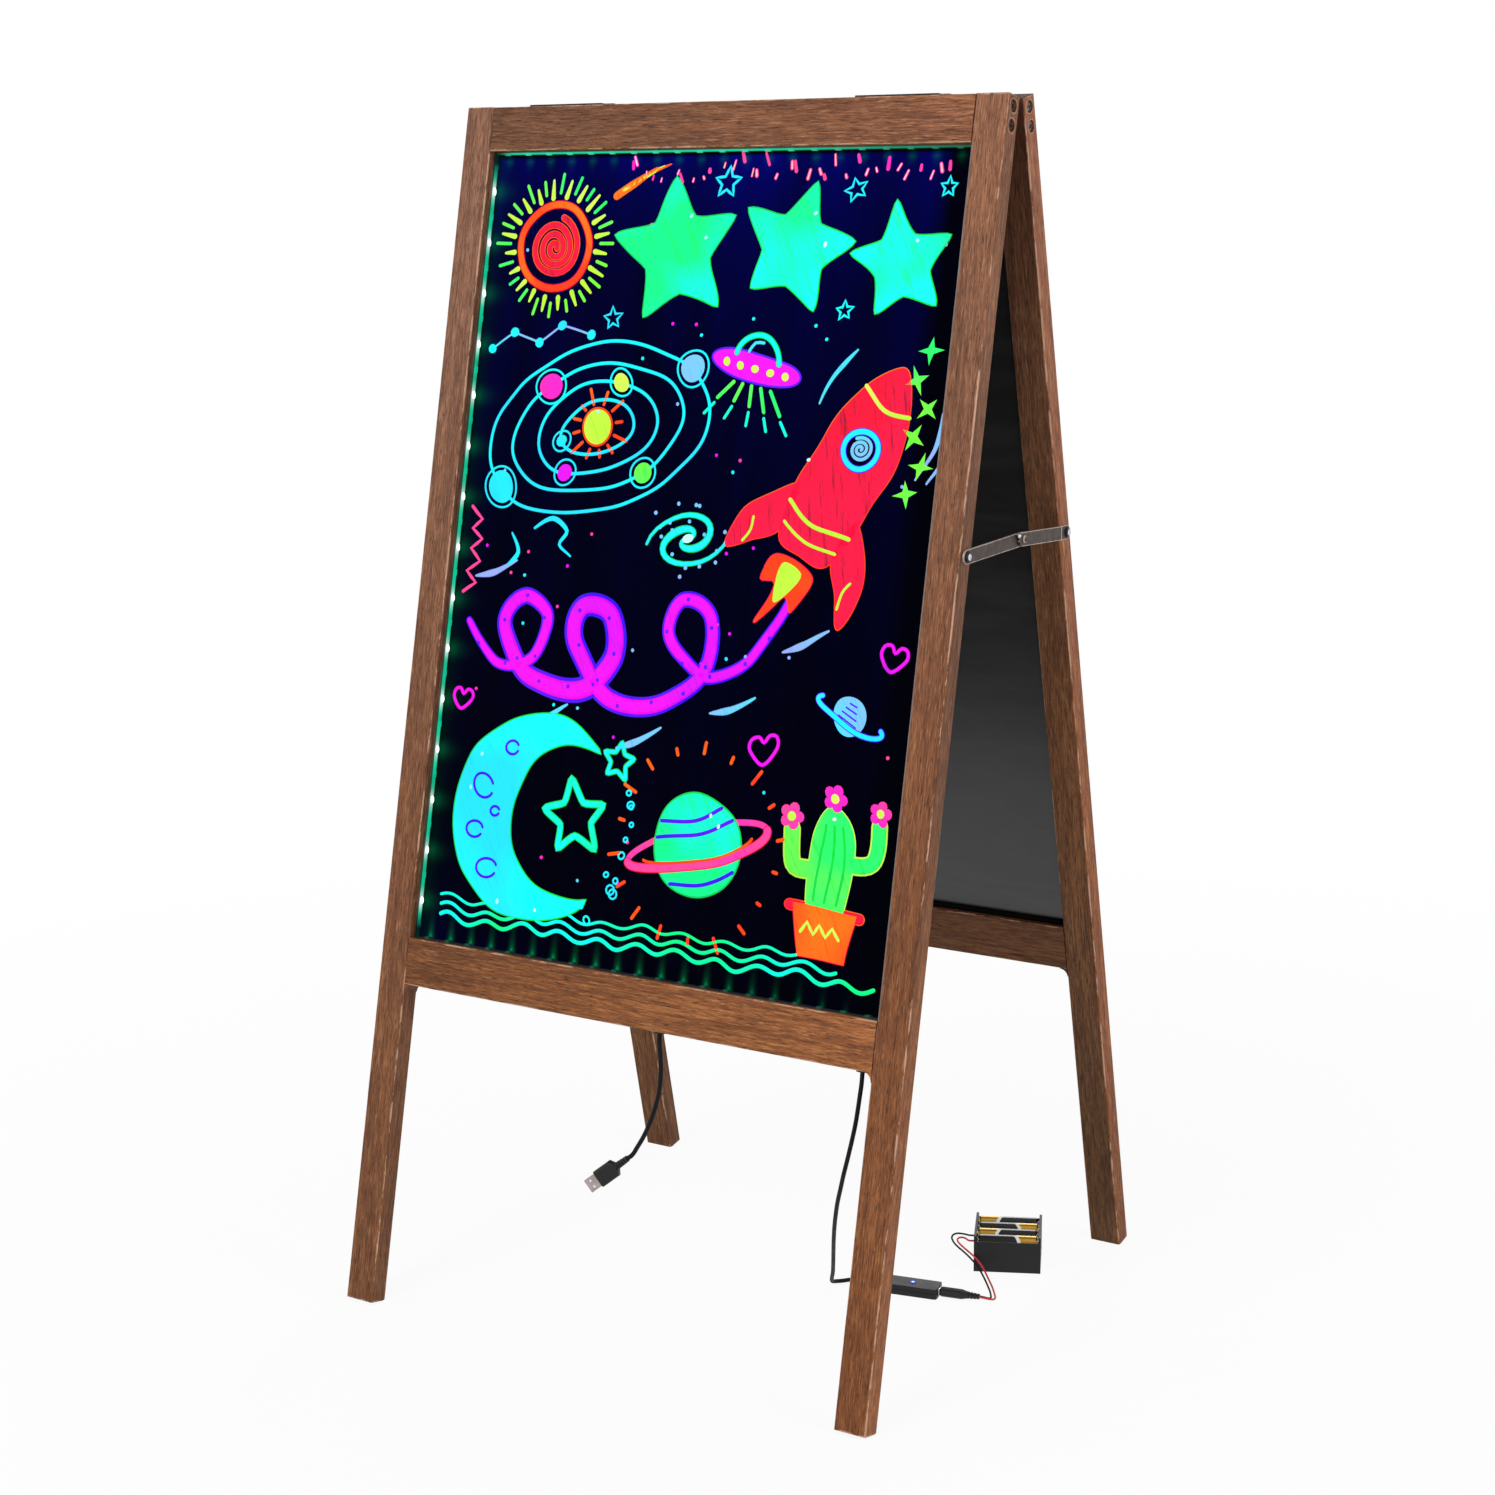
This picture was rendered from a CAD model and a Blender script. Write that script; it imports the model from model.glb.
"""Chalkboard sign: a folding A-frame with a lit writing panel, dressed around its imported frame."""
import math
import random

import bpy
from mathutils import Matrix, Vector


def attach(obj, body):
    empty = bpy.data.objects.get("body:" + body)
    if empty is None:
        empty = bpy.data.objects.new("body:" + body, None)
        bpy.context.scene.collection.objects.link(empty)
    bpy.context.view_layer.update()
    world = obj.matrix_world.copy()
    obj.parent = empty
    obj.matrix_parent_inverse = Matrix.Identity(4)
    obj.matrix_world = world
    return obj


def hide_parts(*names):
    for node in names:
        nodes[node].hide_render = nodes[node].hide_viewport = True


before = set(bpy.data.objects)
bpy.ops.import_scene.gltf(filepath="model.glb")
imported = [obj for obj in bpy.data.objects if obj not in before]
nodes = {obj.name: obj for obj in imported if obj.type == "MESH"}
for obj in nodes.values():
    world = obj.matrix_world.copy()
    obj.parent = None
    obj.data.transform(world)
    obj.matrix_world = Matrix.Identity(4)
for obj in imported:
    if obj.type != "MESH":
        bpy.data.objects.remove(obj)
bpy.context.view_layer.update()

MM = 0.001
LEAN = math.radians(12.2)
PIN_HEIGHT = 0.994577
random.seed(7)

# Millimetres in a frame's own axes: x across it, y through it and z up along it from the hinge pins
WOOD_MIDDLE = -11.3
BOARD_MIDDLE = -372.9
PANEL_FACE = -8
JOINT_DROPS = (11.04, 25.84)

# The writing panel's half width and half height, and the spacing of the lights along its edges, in metres
PANEL_WIDE, PANEL_HIGH = 0.228, 0.333
UPRIGHT_PITCH, RAIL_PITCH = 0.043, 0.0215

# The right stay's pivots in y and z, in metres
FRONT_PIVOT, KNEE, REAR_PIVOT = (-0.085028, 0.65478), (0.005405, 0.65828), (0.085028, 0.65478)

# Metres on the floor: the middle of the controller's near end, its button's middle and the holder's corner
CONTROLLER_END = (0.127, 0.025, 0)
CONTROLLER_TURN = math.radians(11.5)
BUTTON_MIDDLE = (0.15003, 0.02969)
HOLDER_CORNER = (0.173, 0.097, 0)
HOLDER_TURN = math.radians(25.3)

# The cells' first row, their spacing and the middle of their length, in the holder's own millimetres
CELL_ROW, CELL_PITCH, CELL_MIDDLE = 8.3, 14.5, 29


# Places and camera

def front(x, y, z):
    """A place in the front frame's own millimetres, in metres."""
    return Vector((
        x * MM,
        (y * math.cos(LEAN) + z * math.sin(LEAN)) * MM,
        (z * math.cos(LEAN) - y * math.sin(LEAN)) * MM + PIN_HEIGHT,
    ))


def rear(x, y, z):
    """The same place in the rear frame, which mirrors the front one."""
    place = front(x, y, z)
    return Vector((place.x, -place.y, place.z))


FRAMES = (("front_frame", front, 1), ("rear_frame", rear, -1))
HANDS = ((1, "right"), (-1, "left"))


def linked(name, data):
    """A new object in the scene."""
    piece = bpy.data.objects.new(name, data)
    bpy.context.scene.collection.objects.link(piece)
    return piece


def aim_camera():
    """The photographer's view: place, heading, pitch and roll as solved from the frame's corners."""
    place = Vector((1.20148, -1.86962, 0.92893))
    heading, pitch, roll = math.radians(32.602), math.radians(-11.756), math.radians(-0.52)
    forward = Vector((-math.sin(heading) * math.cos(pitch), math.cos(heading) * math.cos(pitch),
                      math.sin(pitch)))
    level = Vector((math.cos(heading), math.sin(heading), 0))
    upward = level.cross(forward)
    right = math.cos(roll) * level + math.sin(roll) * upward
    up = math.cos(roll) * upward - math.sin(roll) * level
    data = bpy.data.cameras.new("camera")
    data.sensor_width = 36
    data.lens = 64.923
    camera = linked("camera", data)
    camera.matrix_world = Matrix.Translation(place) @ Matrix((right, up, -forward)).transposed().to_4x4()
    bpy.context.scene.camera = camera


aim_camera()


# Materials

def tone(red, green, blue):
    """A colour as it reads on a screen, 0 to 255, as linear light."""
    def linear(value):
        value = value / 255
        return value / 12.92 if value <= 0.04045 else ((value + 0.055) / 1.055) ** 2.4
    return (linear(red), linear(green), linear(blue), 1.0)


class Flow:
    """A number, colour or place on its way through a finish's nodes."""

    def __init__(self, finish, socket):
        self.finish = finish
        self.socket = socket

    def __add__(self, other):
        return self.finish.sum("ADD", self, other)

    def __sub__(self, other):
        return self.finish.sum("SUBTRACT", self, other)

    def __rsub__(self, other):
        return self.finish.sum("SUBTRACT", other, self)

    def __mul__(self, other):
        return self.finish.sum("MULTIPLY", self, other)

    def __truediv__(self, other):
        return self.finish.sum("DIVIDE", self, other)

    def __lt__(self, other):
        return self.finish.sum("LESS_THAN", self, other)

    def __gt__(self, other):
        return self.finish.sum("GREATER_THAN", self, other)

    def __abs__(self):
        return self.finish.sum("ABSOLUTE", self)

    def least(self, other):
        return self.finish.sum("MINIMUM", self, other)

    def most(self, other):
        return self.finish.sum("MAXIMUM", self, other)


class Finish:
    """A material and the nodes that make it up."""

    def __init__(self, name, roughness=0.5, metallic=0.0, specular=0.5):
        self.material = bpy.data.materials.new(name)
        self.material.use_nodes = True
        self.tree = self.material.node_tree
        self.shader = self.tree.nodes["Principled BSDF"]
        self.set("Roughness", roughness)
        self.set("Metallic", metallic)
        self.set("Specular IOR Level", specular)
        self.place = self.made("TexCoord", {}, output="Object")

    def feed(self, socket, value):
        if isinstance(value, Flow):
            self.tree.links.new(value.socket, socket)
        else:
            socket.default_value = value

    def set(self, name, value):
        """Sets or feeds one of the shader's own sockets."""
        self.feed(self.shader.inputs[name], value)

    def made(self, kind, inputs, output=0, **settings):
        """What comes out of a new node whose inputs are fed."""
        node = self.tree.nodes.new("ShaderNode" + kind)
        for name, value in settings.items():
            setattr(node, name, value)
        for socket, value in inputs.items():
            self.feed(node.inputs[socket], value)
        return Flow(self, node.outputs[output])

    def sum(self, operation, *values):
        return self.made("Math", dict(enumerate(values)), operation=operation)

    def mapped(self, place, scale=(1, 1, 1), turn=(0, 0, 0), shift=(0, 0, 0)):
        return self.made("Mapping", {"Vector": place, "Scale": scale, "Rotation": turn, "Location": shift})

    def noise(self, place, scale=1.0, detail=3.0, roughness=0.55, distortion=0.0):
        return self.made("TexNoise", {"Vector": place, "Scale": scale, "Detail": detail,
                                      "Roughness": roughness, "Distortion": distortion}, output="Fac")

    def reach(self, place):
        """How far a place lies from the origin."""
        return self.made("VectorMath", {0: place}, output="Value", operation="LENGTH")

    def axes(self, place):
        x = self.made("SeparateXYZ", {0: place})
        return [Flow(self, socket) for socket in x.socket.node.outputs]

    def ramp(self, value, stops):
        """stops are (place, colour) or (place, grey)."""
        flow = self.made("ValToRGB", {"Fac": value}, output="Color")
        elements = flow.socket.node.color_ramp.elements
        for index, (place, colour) in enumerate(stops):
            element = elements[index] if index < 2 else elements.new(place)
            element.position = place
            element.color = colour if isinstance(colour, tuple) else (colour, colour, colour, 1)
        return flow

    def blend(self, share, first, second, way="MIX"):
        return self.made("Mix", {0: share, 6: first, 7: second}, output=2, data_type="RGBA", blend_type=way)

    def tinted(self, body, tint):
        return self.blend(1.0, body, tint, way="MULTIPLY")

    def glow(self, colour, strength=1.0):
        self.set("Emission Color", colour)
        self.set("Emission Strength", strength)

    def bump(self, height, depth, strength=1.0):
        self.set("Normal", self.made("Bump", {"Distance": depth, "Strength": strength, "Height": height}))


def grained(finish, figure, bands, streaks, pores):
    """Walnut's own colours, from its broadest figure down to its pores."""
    body = finish.ramp(figure, [
        (0.3, tone(122, 80, 56)), (0.52, tone(148, 101, 73)), (0.74, tone(168, 120, 90))])
    for layer, stops, colour in (
            (bands, [(0.36, 0.66), (0.56, 0.0)], tone(98, 62, 42)),
            (streaks, [(0.34, 0.85), (0.5, 0.0)], tone(80, 48, 33)),
            (streaks, [(0.54, 0.0), (0.68, 0.7)], tone(200, 154, 122)),
            (pores, [(0.34, 0.9), (0.43, 0.0)], tone(56, 33, 24))):
        body = finish.blend(finish.ramp(layer, stops), body, colour)
    near_floor = finish.ramp(finish.axes(finish.place)[2], [
        (0.1, (0.93, 0.82, 0.6, 1.0)), (0.4, (0.97, 0.87, 0.68, 1.0)), (0.78, (1.0, 1.0, 1.0, 1.0))])
    return finish.tinted(body, near_floor)


def wood(name, middle, half, side, along, stain):
    """Walnut-stained wood whose grain runs along one axis of a frame member. side is 1 for the front frame
    and -1 for the rear one, and middle and half are the member's own millimetres. stain is how much the
    board's own colour differs at its low or left end and at its high or right end."""
    finish = Finish(name, roughness=0.52, specular=0.22)
    is_stile, is_right = along == "z", middle[0] > 0
    turn = Matrix.Rotation(side * LEAN, 3, "X")
    centre = front(*middle) if side > 0 else rear(*middle)
    own = finish.mapped(finish.place, turn=(side * LEAN, 0, 0), shift=-(turn @ centre))
    drift = [random.uniform(-9, 9) for _ in range(3)]

    def grain(across, length):
        return finish.mapped(own, scale=(across, across, length) if is_stile else (length, across, across),
                             shift=drift)

    streaks = finish.noise(grain(860, 60), detail=5, roughness=0.72, distortion=0.3)
    pores = finish.noise(grain(1500, 120), detail=3, roughness=0.6)
    ragged = finish.noise(grain(130, 30), detail=4, roughness=0.75)
    body = grained(finish, finish.noise(grain(58, 4.2), detail=3, roughness=0.6, distortion=1.1),
                   finish.noise(grain(260, 12), detail=4, roughness=0.65, distortion=0.7), streaks, pores)
    axes = finish.axes(own)
    run = 2 if is_stile else 0
    share = axes[run] * (0.5 / (half[run] * MM)) + 0.5
    body = finish.tinted(body, finish.blend(share, (*stain[0], 1.0), (*stain[1], 1.0)))

    gaps = [reach * MM - abs(axis) for axis, reach in zip(axes, half)]
    if is_stile:
        # Where the rails meet the stile there is no bare arris
        joint = finish.ramp(axes[2] + 0.5, [(0.302, 0.0), (0.304, 1.0), (0.3455, 1.0), (0.3475, 0.0),
                                            (0.969, 0.0), (0.971, 1.0)])
        inner = axes[0] * math.copysign(1.0, middle[0]) < 0.0
        gaps[0] = joint * inner * 0.02 + gaps[0]
    edge = gaps[0].least(gaps[1]).most(gaps[0].most(gaps[1]).least(gaps[2]))
    near = finish.ramp(edge * 500, [(0.45, 1.0), (0.75, 0.0)])
    if side > 0 and is_right:
        # This stile's own light and dark stretches, stronger on its outer side, and its most rubbed stretch
        stretch = finish.ramp(share, [(0.0, 0.8), (0.25, 0.74), (0.35, 0.69), (0.55, 0.74), (0.82, 0.66),
                                      (0.92, 0.82)])
        outer = finish.ramp(share, [(0.1, 1.0), (0.3, 0.88), (0.45, 0.57), (0.78, 0.52), (0.85, 0.8),
                                    (0.9, 0.74)])
        on_side = axes[0] > (half[0] - 0.15) * MM
        body = finish.tinted(body, finish.blend(on_side, stretch, outer))
        edge = finish.ramp(share, [(0.54, 0.0), (0.6, 1.0), (0.77, 1.0), (0.8, 0.0)]) * -0.0008 + edge
    elif side < 0 and is_stile:
        # Darker where the frames meet at the top, and the right one towards its foot
        on_inside = axes[1] < (0.15 - half[1]) * MM
        foot = (0.5, 0.7, 1.0, 1.0) if is_right else 1.0
        waist = (0.82, 0.96, 1.0, 1.0) if is_right else 1.0
        soot = finish.ramp(share, [(0.1, foot), (0.5, waist), (0.8, waist), (0.97, 0.4)])
        body = finish.blend(on_inside, body, finish.tinted(body, soot))

    edge = (ragged - 0.52) * -0.013 + edge
    worn = finish.ramp(edge * 500, [(0.1, 0.8), (0.7, 0.0)]) * near
    if is_stile:
        for drop in JOINT_DROPS:
            away = finish.reach(finish.mapped(own, scale=(0, 1, 1), shift=(0, 0, (drop + middle[2]) * MM)))
            worn = worn.most(finish.ramp(ragged * 0.5 + away * 100, [(0.77, 0.0), (0.8, 0.8), (0.86, 0.0)]))
    body = finish.blend(worn, body, tone(206, 162, 134))
    if side > 0 and is_right:
        # The arris beside the panel, greyed by its light
        across, through = (axis + reach * MM for axis, reach in zip(axes[:2], half))
        arris = finish.ramp(across.most(through) * 300, [(0.4, 0.8), (0.56, 0.0)])
        beside = abs(axes[2] - 0.138) < PANEL_HIGH
        body = finish.blend(arris * beside, body, tone(116, 110, 108))
    if is_stile:
        ends = gaps[2] < 0.00015
        body = finish.blend(ends, body, tone(66, 40, 28))
        finish.set("Specular IOR Level", ends * -0.2 + 0.22)
    finish.set("Base Color", body)
    finish.set("Roughness", finish.ramp(streaks, [(0.3, 0.66), (0.7, 0.44)]))
    relief = finish.ramp(pores, [(0.32, 0.0), (0.44, 0.6)]) + finish.ramp(streaks, [(0.3, 0.0), (0.6, 0.5)])
    finish.bump(relief, 0.00025, 0.6)
    return finish.material


def moulded(name, colour, roughness=0.45, grain=2600, depth=0.00003, specular=0.4):
    """Moulded plastic or rubber with a fine even texture."""
    finish = Finish(name, roughness=roughness, specular=specular)
    cloud = finish.noise(finish.place, scale=60, detail=3)
    darker = tuple(value * 0.72 for value in colour[:3]) + (1.0,)
    finish.set("Base Color", finish.blend(finish.ramp(cloud, [(0.35, 0.0), (0.7, 0.6)]), colour, darker))
    finish.set("Roughness", finish.ramp(cloud, [(0.3, roughness - 0.06), (0.7, roughness + 0.08)]))
    finish.bump(finish.noise(finish.place, scale=grain, detail=2), depth, 0.6)
    return finish.material


def metal(name, colour, worn_colour, roughness=0.35):
    """Plated or bronzed sheet metal, rubbed lighter in places."""
    finish = Finish(name, roughness=roughness, metallic=0.85)
    cloud = finish.noise(finish.place, scale=150, detail=5, roughness=0.7)
    brush = finish.noise(finish.mapped(finish.place, scale=(1, 0.08, 1)), scale=900, detail=2)
    worn = finish.ramp(cloud, [(0.45, 0.0), (0.72, 0.7)])
    finish.set("Base Color", finish.blend(worn, colour, worn_colour))
    finish.set("Roughness", finish.ramp(brush, [(0.3, roughness - 0.08), (0.7, roughness + 0.14)]))
    finish.bump(brush, 0.00002, 0.4)
    return finish.material


def stay_finish(name, start, end, half, heel=None, bright_from=9.0, bright_to=9.0):
    """Bronzed steel whose rim, and the stretch between the two bright distances, is rubbed bright. start
    and end are pivots in y and z, half is the half width, and heel is how far a straight end lies before
    start."""
    finish = Finish(name, roughness=0.46)
    _, y, z = finish.axes(finish.place)
    length = math.dist(start, end)
    aim = ((end[0] - start[0]) / length, (end[1] - start[1]) / length) if length else (1.0, 0.0)
    y, z = y - start[0], z - start[1]
    along = y * aim[0] + z * aim[1]
    off = z * aim[0] + y * -aim[1]
    before = along * -1.0
    over = (along - length).most(0.0 if heel else before).most(0.0)
    reach = finish.sum("SQRT", off * off + over * over)
    if heel:
        reach = reach.most(before + (half - heel))
    cloud = finish.noise(finish.place, scale=150, detail=5, roughness=0.7)
    rubbed = finish.ramp((cloud * 0.0012 + (reach - half)) * 500 + 0.5, [(0.5, 0.0), (0.64, 0.8)])
    if heel:
        rubbed = rubbed * (before < heel - 0.00005)
    bend = (along > bright_from) * (along < bright_to)
    body = finish.blend(finish.ramp(cloud, [(0.4, 0.0), (0.7, 0.8)]), tone(60, 49, 44), tone(90, 76, 68))
    body = finish.blend(rubbed, body, tone(196, 178, 164))
    finish.set("Base Color", finish.blend(bend, body, tone(236, 234, 236)))
    finish.set("Metallic", rubbed.most(bend) * -0.6 + 0.7)
    brush = finish.noise(finish.mapped(finish.place, scale=(1, 0.2, 1)), scale=900, detail=2)
    finish.bump(brush, 0.00002, 0.4)
    return finish.material


def screw_finish(name, pivot):
    """Bright steel round the recess, black outside it."""
    finish = Finish(name)
    away = finish.reach(finish.mapped(finish.place, scale=(0, 1, 1), shift=(0, -pivot[0], -pivot[1])))
    rim = finish.ramp(away * 250, [(0.56, 0.0), (0.68, 1.0)])
    cloud = finish.ramp(finish.noise(finish.place, scale=900, detail=2), [(0.4, 0.0), (0.65, 1.0)])
    steel = finish.blend(cloud, tone(214, 216, 220), tone(246, 248, 250))
    finish.set("Base Color", finish.blend(rim, steel, tone(14, 14, 15)))
    finish.set("Metallic", rim * -0.9 + 0.9)
    finish.set("Roughness", finish.ramp(rim, [(0.0, 0.22), (1.0, 0.5)]))
    return finish.material


def pools(along, pitch, sharpness):
    """1 at each light of a strip, falling to 0 between them."""
    swing = along.finish.sum("COSINE", along * (2 * math.pi / pitch))
    return along.finish.sum("POWER", swing * 0.5 + 0.5, sharpness)


def panel_place(finish):
    """The panel's own axes: x across, y out of it and z up it, from the middle of its face."""
    turn = Matrix.Rotation(LEAN, 3, "X")
    middle = front(0, PANEL_FACE, BOARD_MIDDLE)
    return finish.mapped(finish.place, turn=(LEAN, 0, 0), shift=-(turn @ middle))


def panel_finish():
    """Dark glossy acrylic: navy where the strips light it, with green pools beside their lights."""
    finish = Finish("glossy writing panel", specular=0.01)
    finish.set("Specular Tint", (0.3, 0.35, 0.8, 1))
    own = panel_place(finish)
    x, _, z = finish.axes(own)
    left, right = x + PANEL_WIDE, PANEL_WIDE - x
    top, bottom = PANEL_HIGH - z, z + PANEL_HIGH

    def fade(distance, reach):
        return finish.sum("EXPONENT", distance / -reach)

    cloud = finish.ramp(finish.noise(finish.mapped(own, scale=(18, 1, 3.6)), detail=3, distortion=0.4),
                        [(0.36, 0.35), (0.66, 1.0)])
    band = fade(abs(x - 0.034), 0.014)
    hump = fade(abs(x - 0.06), 0.08) * 0.9 + 0.4
    navy = fade(top, 0.045) * hump * 0.9 + fade(top, 0.19) * 0.38
    navy = navy + band * fade(top, 0.2) * 0.3 + fade(left, 0.06) * fade(bottom, 0.03) * 0.2
    navy = navy * cloud * finish.ramp(right * 25, [(0.45, 0.03), (0.95, 1.0)])
    side_gap = finish.ramp(left * 100, [(0.0, 0.0), (0.7, 1.0)])
    top_gap = finish.ramp(top * 100, [(0.28, 0.0), (0.5, 1.0)])
    side_pools = fade(left, 0.0055) * (pools(z, UPRIGHT_PITCH, 4.0) * 0.4 + 0.04) * side_gap
    top_pools = fade(abs(top - 0.007), 0.0025) * pools(x, RAIL_PITCH, 4.0) * 0.1
    foot_pools = fade(bottom, 0.007) * pools(x, RAIL_PITCH, 6.0) * 0.3
    foot_spots = fade(abs(bottom - 0.0035), 0.0013) * pools(x, RAIL_PITCH, 30.0) * 0.4
    foot_side = finish.ramp(right * 4, [(0.1, 0.0), (0.8, 1.0)])
    green = side_pools + top_pools + (foot_pools + foot_spots) * foot_side
    lit = finish.blend((navy * side_gap * top_gap).least(1.0), tone(1, 1, 4), tone(3, 4, 112))
    finish.set("Base Color", tone(1, 1, 4))
    finish.glow(finish.blend(green.least(1.0), lit, tone(0, 176, 100)))
    finish.set("Roughness", finish.ramp(finish.noise(own, scale=30, detail=5), [(0.35, 0.07), (0.75, 0.16)]))
    return finish.material


def slate_finish():
    """Satin chalkboard with the faint cloud that a wiped board keeps, and more dust towards its foot."""
    finish = Finish("satin chalkboard", specular=0.6)
    own = finish.mapped(finish.place, turn=(-LEAN, 0, 0))
    dust = finish.noise(finish.mapped(own, scale=(5, 5, 9)), detail=6, roughness=0.7, distortion=1.2)
    wipes = finish.noise(finish.mapped(own, scale=(7, 7, 60), turn=(0, 0.35, 0)), detail=4, roughness=0.65)
    body = finish.blend(finish.ramp(dust, [(0.4, 0.0), (0.8, 0.55)]), tone(38, 38, 39), tone(58, 58, 60))
    body = finish.blend(finish.ramp(wipes, [(0.5, 0.0), (0.8, 0.3)]), body, tone(78, 78, 79))
    height = finish.ramp(finish.axes(finish.place)[2], [(0.32, 0.0), (0.6, 1.0)])
    settled = finish.blend(height, (1.4, 1.4, 1.4, 1.0), (0.88, 0.88, 0.88, 1.0))
    finish.set("Base Color", finish.tinted(body, settled))
    finish.set("Roughness", finish.ramp(wipes, [(0.3, 0.3), (0.7, 0.4)]))
    finish.bump(finish.noise(own, scale=2400, detail=2), 0.00003, 0.5)
    return finish.material


def strip_finish(name, kind):
    """A light strip: the top one is an even line that fades to the right, the upright ones have hot spots and
    the bottom one is turned away and only glimmers."""
    finish = Finish(name, specular=0.2)
    x, y, z = finish.axes(panel_place(finish))
    if kind == "top":
        spots = pools(x, RAIL_PITCH, 5.0) * 0.06
        power = (finish.ramp(x * 2.0 + 0.5, [(0.55, 1.0), (0.97, 0.12)])
                 * finish.ramp(y * 200.0 + 1.0, [(0.3, 1.0), (0.5, 0.06)])
                 * finish.ramp(x + PANEL_WIDE, [(0.006, 0.05), (0.02, 1.0)]))
    elif kind == "upright":
        spots = pools(z, UPRIGHT_PITCH, 4.0)
        power = (finish.ramp(finish.noise(finish.place, scale=60, detail=2), [(0.3, 0.6), (0.7, 1.0)])
                 * finish.ramp(y * 180.0 + 1.0, [(0.04, 0.05), (0.12, 1.0), (0.78, 1.0), (0.92, 0.2)])
                 * finish.ramp(abs(z), [(0.31, 1.0), (0.324, 0.03)]))
    else:
        spots = 0.0
        power = pools(x, RAIL_PITCH, 8.0) * 0.1
    lit = finish.blend(spots, tone(14, 206, 156), tone(225, 255, 246))
    finish.set("Base Color", tone(8, 16, 22))
    finish.glow(finish.blend(power, tone(0, 3, 12), lit))
    return finish.material


def dome_finish():
    """The domes over the lights: almost white, with a green cloud."""
    finish = Finish("lit domes", roughness=0.4, specular=0.3)
    colour = tone(235, 255, 250)
    cloud = finish.ramp(finish.noise(finish.place, scale=400, detail=1), [(0.4, 0.0), (0.6, 0.3)])
    finish.set("Base Color", colour)
    finish.glow(finish.blend(cloud, colour, tone(160, 255, 225)), 1.6)
    return finish.material


def ink_finish(name, first, second, scribble, worn, lean=0.5):
    """Paint-pen ink lit by the panel: two tones in clouds, with darker strokes where the pen ran thin."""
    finish = Finish(name, roughness=0.6, specular=0.15)
    turned_place = finish.mapped(finish.place, turn=(0, lean, 0))
    cloud = finish.noise(finish.place, scale=9.0, detail=2)
    strokes = finish.noise(finish.mapped(turned_place, scale=(300, 20, 26)), detail=4, roughness=0.7)
    lit = finish.blend(finish.ramp(cloud, [(0.4, 0.0), (0.6, 1.0)]), tone(*first), tone(*second))
    lit = finish.blend(finish.ramp(strokes, [(0.33, worn), (0.47, 0.0)]), lit, tone(*scribble))
    finish.set("Base Color", finish.blend(0.75, lit, tone(0, 0, 0)))
    finish.glow(lit, 0.86)
    finish.bump(strokes, 0.00006, 0.4)
    return finish.material


def button_finish():
    """A lit button: white in the middle, blue round it."""
    finish = Finish("lit button", roughness=0.3)
    radius = 0.0025
    own = finish.mapped(finish.place, shift=(-BUTTON_MIDDLE[0], -BUTTON_MIDDLE[1], 0), scale=(1, 1, 0))
    lit = finish.ramp(finish.reach(own) / radius, [
        (0.2, tone(235, 245, 255)), (0.5, tone(60, 120, 255)), (0.95, tone(10, 30, 190))])
    finish.set("Base Color", lit)
    finish.glow(lit)
    return finish.material


def cell_finish():
    """Battery cells: black jacket with a pale line along the crown, and a gold end at the nub with a pale
    slanted band, turned about by row."""
    finish = Finish("battery cell jacket", specular=0.3)
    back = Matrix.Rotation(-HOLDER_TURN, 3, "Z")
    own = finish.mapped(finish.place, turn=(0, 0, -HOLDER_TURN), shift=-(back @ Vector(HOLDER_CORNER)))
    x, y, _ = finish.axes(own)
    row = finish.sum("ROUND", (y - CELL_ROW * MM) / (CELL_PITCH * MM))
    off = y - (row * (CELL_PITCH * MM) + CELL_ROW * MM)
    flip = finish.sum("MODULO", row, 2.0) * -2.0 + 1.0
    along = (x - CELL_MIDDLE * MM) * flip
    share = (off * 0.55 + along) * 20.0 + 0.5
    crown = finish.ramp(off * 100 + 0.5, [(0.4, 0.0), (0.46, 0.85), (0.72, 0.85), (0.8, 0.0)])
    black = finish.blend(crown, tone(12, 12, 13), tone(216, 216, 214))
    gold = finish.ramp(off * 60 + 0.5, [
        (0.1, tone(132, 92, 30)), (0.26, tone(206, 160, 54)), (0.36, tone(104, 60, 26)),
        (0.46, tone(226, 184, 82)), (0.62, tone(250, 226, 150)), (0.8, tone(150, 108, 40))])
    is_gold = finish.ramp(share, [(0.66, 0.0), (0.672, 1.0)])
    band = finish.ramp(share, [(0.6, 0.0), (0.612, 1.0)])
    jacket = finish.blend(is_gold, finish.blend(band, black, tone(232, 232, 229)), gold)
    ends = finish.ramp(along * 10.0 + 0.5, [(0.748, 0.0), (0.752, 1.0)])
    finish.set("Base Color", finish.blend(ends, jacket, tone(214, 180, 96)))
    finish.set("Metallic", is_gold * 0.6)
    finish.set("Roughness", finish.ramp(finish.noise(finish.place, scale=300), [(0.3, 0.22), (0.7, 0.36)]))
    return finish.material


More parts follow.
